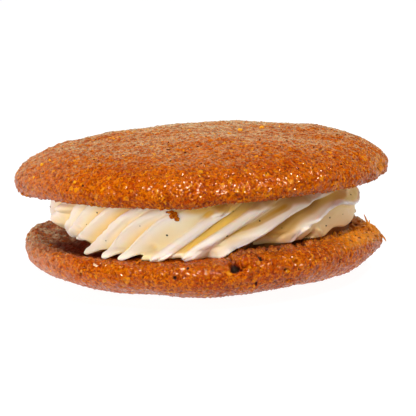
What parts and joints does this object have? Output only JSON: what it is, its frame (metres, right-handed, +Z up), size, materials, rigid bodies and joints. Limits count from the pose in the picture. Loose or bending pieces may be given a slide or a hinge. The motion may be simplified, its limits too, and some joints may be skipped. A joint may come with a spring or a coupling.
{
  "type": "whoopie pie",
  "caption": "Hand-sized sandwich of soft spiced cake rounds, domed outwards, around a thick band of piped vanilla cream with slanting folds.",
  "frame": {"origin": "On the surface the pie stands on, under the middle of its bounding box, in the small flat foot of the lower cake.", "axes": "+Z up through the two cakes; -Y is the front, the side the picture shows; +X is to the right in the picture."},
  "size_m": [0.09, 0.09, 0.0362],
  "materials": {
    "spiced_cake": "moist baked cake, orange-brown, fine pebbled grain with small glossy sparkles and a few open pores",
    "cream": "smooth soft piped cream, satin, with fine vanilla specks"
  },
  "bodies": {
    "root": {"cake_bottom": "spiced_cake", "filling": "cream", "cake_top": "spiced_cake"}
  },
  "joints": []
}
